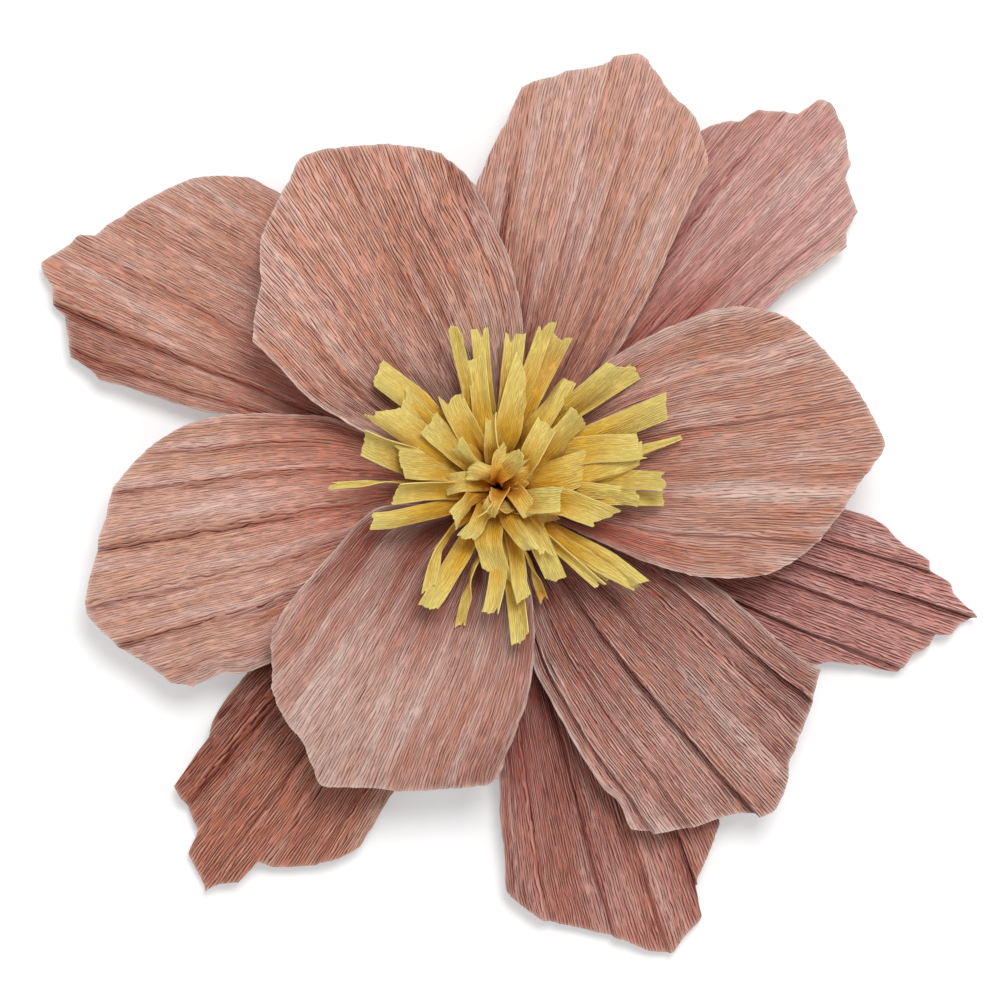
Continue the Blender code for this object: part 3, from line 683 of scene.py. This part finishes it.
fringe = {
    "paper": 0.5,
    "turnPitch": 1.1,
    "innerRadius": 4.6,
    "bandBottom": 2.3,
    "bandTop": 21.3,
    "tongues": 62,
    "innerWidth": 5.0,
    "outerWidth": 9.4,
    "crownHeight": 66.0,  # of the tips nearest the axis
    "crownFall": 0.22,    # how much lower a tip is for each millimetre further out
    "clearance": 3.5,     # of the tips above the petals
    "rows": 36,           # of points along a tongue
    "columns": 15,
    "bandRows": 4,
    "bandColumns": 420,
    "kink": 30.0,         # how sharply a finger has bent the end of a tongue up or down
    "sideKink": 9.0,
    "midBend": 9.0,
    "sideBow": 2.2,
    "waist": 0.7,         # a tongue's width just above the roll, as a share of its width in the roll
    "ruffle": 0.85,
    "crumple": 1.8,
    "ridgeHeight": 0.03,
    "notch": 0.9,         # how unevenly the ends are cut
    "notchFine": 0.3,
    "slant": 0.52,
    "tipPaleness": 0.85,       # strength of the paler colour towards the tips
    "seed": 6,
    # (x, y, width) of the tips that show from above, in mm
    "tips": [(-52, 53, 11.5), (-17, 70, 5.5), (-9, 70, 7.5), (6, 67, 9), (21, 73, 7.5), (29, 67, 10),
             (-16, 58, 8.5), (52, 54, 9), (61, 52, 8), (75, 36, 11), (80, 22, 4), (62, 20, 13), (62, 10, 12),
             (74, 1, 10), (73, -6, 6), (62, -4, 8), (54, -3, 7), (48, -10, 12), (63, -41, 7),
             (60, -46, 6.5), (51, -40, 7), (45, -44, 6), (24, -14, 8), (26, -6, 10), (24, -29, 6),
             (23, -40, 9), (20, -51, 4), (9, -68, 9.5), (-5, -56, 8), (-21, -61, 4.5), (-33, -53, 9),
             (-36, -41, 5), (-56, -16, 7.5), (-76, 0, 3), (-46, 0, 11), (-59, 25, 14), (-52, 34, 12),
             (-44, 38, 11), (-5, -39, 12), (-13, -24, 7), (-19, -16, 7), (12, -29, 8), (9, -50, 7),
             (-25, -2, 9), (-44, 14, 14), (-32, 28, 12), (36, 30, 13), (44, 12, 14), (14, 46, 12),
             (-22, 40, 11), (30, 46, 11), (-1, 32, 8), (24, 24, 11), (-21, 19, 10), (9, 14, 7), (15, 4, 9),
             (14, -12, 8), (-4, -11, 7), (2, 18, 7), (-11, 9, 8), (4, -3, 8.5), (-8, -4, 8)],
}


def rollRadius(length):
    return math.sqrt(fringe["innerRadius"]**2 + length * fringe["turnPitch"] / math.pi)


def rollAzimuth(length):
    return (rollRadius(length) - fringe["innerRadius"]) * 2 * math.pi / fringe["turnPitch"]


def tonguePlan():
    # where each tongue leaves the roll, and the tip that it goes to: the outermost tips from the outermost turn
    plan, start = [], 0.0
    for index in range(fringe["tongues"]):
        share = index / (fringe["tongues"] - 1)
        width = fringe["innerWidth"] + share * (fringe["outerWidth"] - fringe["innerWidth"])
        plan.append({"start": start, "end": start + width, "share": share, "middle": start + width / 2})
        start += width
    free = set(range(len(plan)))
    for x, y, width in sorted(fringe["tips"], key=lambda tip: -math.hypot(tip[0], tip[1])):
        azimuth, reach = math.atan2(y, x), math.hypot(x, y)
        if reach < 12:
            azimuth += math.pi   # these bend over the axis from its far side
        wanted = min(max((reach - 8) / 66, 0.0), 1.0)

        def misfit(index):
            turn = (azimuth - rollAzimuth(plan[index]["middle"]) + math.pi) % (2 * math.pi) - math.pi
            return (turn / 0.35) ** 2 + ((plan[index]["share"] - wanted) / 0.13) ** 2

        best = min(sorted(free), key=misfit)
        free.discard(best)
        plan[best].update(tip=(x, y), reach=reach, width=width)
    return plan


def petalCeiling(x, y):
    # height of the front petals' upper side, in mm, that the tongues lie on
    layer = petal["layers"]["front"]
    climb = np.clip((np.hypot(x, y) - petal["footRadius"]) / (layer["crest"] - petal["footRadius"]), 0, 1)
    return petal["footHeight"] + layer["order"] * petal["layerStep"] + layer["rise"] * np.sin(climb * math.pi / 2)


def tonguePath(tongue, dice, rows):
    # up out of the roll, over, and out to the tip; the inner ones lean together first
    share = np.linspace(0, 1, rows)[:, None]
    start, turn = rollRadius(tongue["middle"]), rollAzimuth(tongue["middle"])
    foot = np.array([start * math.cos(turn), start * math.sin(turn), fringe["bandTop"]])
    height = max(fringe["crownHeight"] - fringe["crownFall"] * tongue["reach"] + dice.normal(0, 2.5),
                 petalCeiling(*tongue["tip"]) + fringe["clearance"])
    tip = np.array([*tongue["tip"], height])
    inner = 1.0 - float(ease(tongue["reach"] / 60))
    lean = -0.7 + 1.7 * float(ease(tongue["share"] / 0.5))
    second = foot * [lean, lean, 1.0] + [0, 0, 0.55 * (height - fringe["bandTop"]) + dice.uniform(0, 5)]
    back = (0.50 + 0.35 * inner) * (tip - foot) * [1, 1, 0]
    third = tip - back + [dice.normal(0, 2), dice.normal(0, 2), 3.0 + 7.0 * (1 - tongue["reach"] / 80)]
    near = 1 - share
    path = near**3 * foot + 3 * near**2 * share * second + 3 * near * share**2 * third + share**3 * tip
    path[:, 2] += dice.normal(0, 4.0 + 3.0 * inner) * np.clip((share[:, 0] - 0.68) / 0.32, 0, 1) ** 2
    kink = dice.uniform(0.60, 0.88)   # the paper has been bent there by a finger
    path[:, 2] += dice.normal(0, fringe["kink"]) * np.maximum(share[:, 0] - kink, 0)
    bend = dice.normal(0, fringe["midBend"])
    path[:, 2] += bend * np.maximum(0.16 - np.abs(share[:, 0] - dice.uniform(0.4, 0.6)), 0)
    aside = np.array([-tongue["tip"][1], tongue["tip"][0], 0.0]) / tongue["reach"]
    path += aside * np.sin(share * math.pi) * dice.normal(0, fringe["sideBow"])
    path += aside * np.maximum(share - kink, 0) * dice.normal(0, fringe["sideKink"])
    path += (0.9 + 0.8 * inner) * ease(share) * np.stack(
        [softNoise(dice, rows, 2, 4, 1)[:, 0] for _ in range(3)], axis=1)
    return path


def tongueSheet(tongue, dice):
    rows, columns = fringe["rows"], fringe["columns"]
    share = np.linspace(0, 1, rows)
    centre = tonguePath(tongue, dice, rows)
    direction = np.gradient(centre, axis=0)
    direction /= np.linalg.norm(direction, axis=1, keepdims=True)
    x, y = tongue["tip"]
    sideways = np.tile([-y, x, 0.0], (rows, 1)) / tongue["reach"]
    sideways -= direction * np.sum(sideways * direction, axis=1, keepdims=True)
    sideways /= np.linalg.norm(sideways, axis=1, keepdims=True)
    upward = np.cross(direction, sideways)
    twist = dice.normal(0, 0.38 + 0.35 * (1.0 - float(ease(tongue["reach"] / 50)))) * ease(share * 1.1)
    if tongue["width"] < 5.2:
        twist = twist + dice.choice([-1.3, 1.3]) * ease(share / 0.5) * (1 - ease((share - 0.72) / 0.18))
    twist = twist + 0.34 * softNoise(dice, rows, 2, 4, 1)[:, 0] * ease(share / 0.5)
    wide = sideways * np.cos(twist)[:, None] + upward * np.sin(twist)[:, None]
    thick = upward * np.cos(twist)[:, None] - sideways * np.sin(twist)[:, None]

    baseWidth = (tongue["end"] - tongue["start"]) * 0.96
    waist = baseWidth * fringe["waist"]
    width = waist + (tongue["width"] - waist) * ease((share - 0.08) / 0.52)
    width = width + (baseWidth - waist) * (1 - ease(share / 0.10))
    across = np.linspace(-1, 1, columns)
    fold, crease = dice.choice([-1, 1]) * dice.uniform(0.10, 0.34), dice.uniform(-0.45, 0.45)
    bowl = fold * (np.abs(across - crease) ** dice.choice([1.0, 1.6]) - 0.45)
    ruffle = fringe["ruffle"] * softNoise(dice, rows, columns, 10, 3) * ease(share / 0.5)[:, None]
    crumple = fringe["crumple"] * softNoise(dice, rows, columns, 4, 2) * share[:, None]
    ridge = np.where(np.arange(columns) % 2 == 0, 1, -1)[None, :] * (
        1 + 0.6 * softNoise(dice, rows, columns, 9, 7))
    notch = fringe["notch"] * softNoise(dice, columns, 2, 4, 1)[:, 0]
    notch = notch + fringe["notchFine"] * dice.standard_normal(columns)
    if dice.random() < 0.5:
        notch -= dice.uniform(1.0, 4.0) * np.exp(-((across - dice.uniform(-0.9, 0.9)) / 0.25) ** 2)
    slant = dice.normal(0, fringe["slant"]) * across * tongue["width"] / 2
    stretch = ease((share - 0.70) / 0.30)[:, None] * (slant + notch)[None, :]
    lift = bowl[None, :] * width[:, None] * ease(share / 0.35)[:, None] + ruffle + crumple
    lift = lift + fringe["ridgeHeight"] * ridge
    points = (centre[:, None, :] + wide[:, None, :] * (across[None, :, None] * width[:, None, None] / 2)
              + thick[:, None, :] * lift[..., None] + direction[:, None, :] * stretch[..., None])
    floor = petalCeiling(points[..., 0], points[..., 1]) + 1.6
    under = np.maximum(floor - points[..., 2], 0.0)
    points[..., 2] += under * ease(share * 2.5)[:, None]
    length = np.sum(np.linalg.norm(np.diff(centre, axis=0), axis=1))
    grain = np.stack([across[None, :] * tongue["width"] / 2 + tongue["middle"] + 0 * share[:, None],
                      share[:, None] * length + 0 * across[None, :]], axis=-1)
    edge = np.minimum((1 - share)[:, None] * length, (1 - np.abs(across))[None, :] * width[:, None] / 2)
    rim = np.exp(-edge / 0.6)
    far = np.hypot(points[..., 0], points[..., 1])
    # painted shade: the lower the paper, the nearer the axis and the nearer a tongue's root, the more of the
    # orange shade colour it takes
    depth = np.clip((points[..., 2] - 24 - 12 * np.exp(-far / 25)) / 20, 0, 1) * np.clip(0.3 + far / 22, 0, 1)
    depth = depth * (0.3 + 0.7 * ease(share / 0.7))[:, None]
    plain = 0 * lift
    zone = fringe["tipPaleness"] * ease((share - 0.6) / 0.38)[:, None] + plain
    # crest also gives the stamens painted highlight on their ridges and painted shade between them
    return points, grain, {"rim": rim, "crest": 0.45 * ridge + plain, "tone": plain, "zone": zone, "depth": depth}


def bandSheet(plan):
    # the rolled band below the tongues
    places = np.linspace(0, plan[-1]["end"], fringe["bandColumns"])
    heights = np.linspace(fringe["bandBottom"], fringe["bandTop"], fringe["bandRows"])[:, None]
    radius = np.array([rollRadius(place) for place in places])
    turn = np.array([rollAzimuth(place) for place in places])
    plain = 0 * heights + 0 * places
    points = np.stack([radius * np.cos(turn) + plain, radius * np.sin(turn) + plain, heights + plain], axis=-1)
    grain = np.stack([places + plain, heights + plain], axis=-1)
    # the band takes half of the painted orange shade
    return points, grain, {"rim": plain, "crest": plain, "tone": plain, "zone": plain, "depth": plain + 0.5}


def makeStamens():
    dice = np.random.default_rng(fringe["seed"])
    plan = tonguePlan()
    sheets = [bandSheet(plan)] + [tongueSheet(tongue, dice) for tongue in plan]
    vertices, faces, count = [], [], 0
    for points, _, _ in sheets:
        both, quads = sheetParts(points * mm, fringe["paper"] * mm)
        vertices.append(both)
        faces.append(quads + count)
        count += len(both)
    grain = np.concatenate([twoSided(grain) for _, grain, _ in sheets])
    values = {key: np.concatenate([twoSided(given[key]) for _, _, given in sheets]) for key in sheets[0][2]}
    piece = makeMesh("fringed_stamens", np.concatenate(vertices), np.concatenate(faces), grain, values)
    piece.data.materials.append(stamenMaterial())
    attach(piece, "root")
    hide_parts("stamen_fringe")
    print("stamens:", len(plan), "tongues")


butter = {"deep": "#a8660a", "body": "#e8b428", "tan": "#dea016", "pale": "#f5e48e", "second": "#f4e084",
          "depth": 0.46, "pitch": 0.8, "length": 8.0, "seed": 4.0, "bump": 0.6,
          "hollowShade": "#e68602", "hollowShadePower": 0.7}   # painted shade: the colour the paper takes where it lies low and near the axis, among the tongues


def stamenMaterial():
    # the paper, with painted shade: deeper orange the lower it lies and the nearer the axis and a tongue's root
    material = crepeMaterial("butterCrepe", butter)
    tree = material.node_tree
    shader = tree.nodes["Principled BSDF"]
    dyedAndShaded = shader.inputs["Base Color"].links[0].from_socket
    depth = addNode(tree, "ShaderNodeAttribute", attribute_name="depth")
    shade = addMath(tree, "POWER", depth.outputs["Fac"], butter["hollowShadePower"], clamp=True)
    colour = mixColours(tree, shade, hexColour(butter["hollowShade"]), dyedAndShaded)
    tree.links.new(colour, shader.inputs["Base Color"])
    return material


# The card and the wire keep their CAD shape

card = {"fleck": "#a59a88", "board": "#cfc7b8", "fibreScale": 900.0, "cloudScale": 60.0, "flecks": (0.12, 0.42),
        "bump": 0.35, "bumpHeight": 0.0002, "roughness": 0.92}


def cardMaterial():
    material, tree, shader = newMaterial("greyBoard")
    place = addNode(tree, "ShaderNodeTexCoord")
    fibres = addNode(tree, "ShaderNodeTexNoise", {"Scale": card["fibreScale"], "Detail": 4.0, "Roughness": 0.7})
    clouds = addNode(tree, "ShaderNodeTexNoise", {"Scale": card["cloudScale"], "Detail": 2.0})
    for node in (fibres, clouds):
        tree.links.new(place.outputs["Object"], node.inputs["Vector"])
    speck = addMath(tree, "MULTIPLY", fibres.outputs["Fac"], clouds.outputs["Fac"])
    plain = addWindow(tree, speck, *card["flecks"], way="LINEAR")
    tree.links.new(mixColours(tree, plain, hexColour(card["fleck"]), hexColour(card["board"])),
                   shader.inputs["Base Color"])
    addBump(tree, shader, fibres.outputs["Fac"], card["bump"], card["bumpHeight"])
    shader.inputs["Roughness"].default_value = card["roughness"]
    return material


wire = {"coat": "#5d6a58", "worn": "#8b968a", "wearScale": 700.0, "roughness": (0.35, 0.6), "metallic": 0.6}


def wireMaterial():
    material, tree, shader = newMaterial("coatedWire")
    place = addNode(tree, "ShaderNodeTexCoord")
    wear = addNode(tree, "ShaderNodeTexNoise", {"Scale": wire["wearScale"], "Detail": 3.0})
    tree.links.new(place.outputs["Object"], wear.inputs["Vector"])
    tree.links.new(mixColours(tree, wear.outputs["Fac"], hexColour(wire["coat"]), hexColour(wire["worn"])),
                   shader.inputs["Base Color"])
    rough = addWindow(tree, wear.outputs["Fac"], 0.0, 1.0, *wire["roughness"], way="LINEAR")
    tree.links.new(rough, shader.inputs["Roughness"])
    shader.inputs["Metallic"].default_value = wire["metallic"]
    return material


def dressNode(name, material):
    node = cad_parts[name]
    node.data.materials.clear()
    node.data.materials.append(material)


# Floor, light and camera

studio = {
    "floorSize": 6.0,
    "floorDrop": 0.0002,    # the floor lies just under the card
    "floorShade": 0.86,
    "floorGlow": 0.30,      # only as it is seen, not as light on the flower
    "worldStrength": 0.55,
    "keySize": 2.0,
    "keyPower": 127.0,
    "keyPlace": (0.75, 1.8, 4.6),
    "cameraHeight": 2.6,
    "sharpPlane": 0.020,    # the height at which the picture is to scale
    "pictureWidth": 0.45045,
    "pictureCentre": (0.0002, -0.0061),
}


def seenDirectly(tree):
    # 1 where the camera, a reflection or something clear looks at it
    rays = addNode(tree, "ShaderNodeLightPath")
    seen = addMath(tree, "MAXIMUM", rays.outputs["Is Camera Ray"], rays.outputs["Is Glossy Ray"])
    return addMath(tree, "MAXIMUM", seen, rays.outputs["Is Transmission Ray"])


def makeFloor():
    mesh = bpy.data.meshes.new("floor")
    side = studio["floorSize"] / 2
    mesh.from_pydata([(-side, -side, 0), (side, -side, 0), (side, side, 0), (-side, side, 0)], [], [(0, 1, 2, 3)])
    floor = bpy.data.objects.new("floor", mesh)
    floor.location.z = -studio["floorDrop"]
    bpy.context.scene.collection.objects.link(floor)
    material, tree, shader = newMaterial("whiteFloor")
    shader.inputs["Base Color"].default_value = (*[studio["floorShade"]] * 3, 1)
    shader.inputs["Roughness"].default_value = 1.0
    shader.inputs["Specular IOR Level"].default_value = 0.0
    shader.inputs["Emission Color"].default_value = (1, 1, 1, 1)
    glow = addMath(tree, "MULTIPLY", seenDirectly(tree), studio["floorGlow"])
    tree.links.new(glow, shader.inputs["Emission Strength"])
    mesh.materials.append(material)


def makeLight():
    world = bpy.data.worlds.new("studio")
    bpy.context.scene.world = world
    world.use_nodes = True
    tree = world.node_tree
    sky = tree.nodes["Background"]
    # white as it is seen, and worldStrength as light on the flower
    more = addMath(tree, "MULTIPLY", seenDirectly(tree), 1.0 - studio["worldStrength"])
    strength = addMath(tree, "ADD", more, studio["worldStrength"])
    sky.inputs["Color"].default_value = (1, 1, 1, 1)
    tree.links.new(strength, sky.inputs["Strength"])
    lamp = bpy.data.lights.new("key", "AREA")
    lamp.shape = "DISK"
    lamp.size = studio["keySize"]
    lamp.energy = studio["keyPower"]
    key = bpy.data.objects.new("key", lamp)
    key.location = studio["keyPlace"]
    key.rotation_euler = (-key.location).to_track_quat("-Z", "Y").to_euler()
    bpy.context.scene.collection.objects.link(key)


def makeCamera():
    camera = bpy.data.objects.new("camera", bpy.data.cameras.new("camera"))
    camera.data.sensor_width = 36.0
    camera.data.lens = 36.0 * (studio["cameraHeight"] - studio["sharpPlane"]) / studio["pictureWidth"]
    camera.location = (*studio["pictureCentre"], studio["cameraHeight"])
    camera.data.clip_end = 20.0
    bpy.context.scene.collection.objects.link(camera)
    bpy.context.scene.camera = camera


bpy.context.scene.view_settings.view_transform = "Standard"
makeCamera()
makeLight()
makeFloor()
print("camera, light and floor ready")
makePetals()
makeStamens()
dressNode("backing_card", cardMaterial())
dressNode("binding_wire", wireMaterial())
print("card and wire dressed")
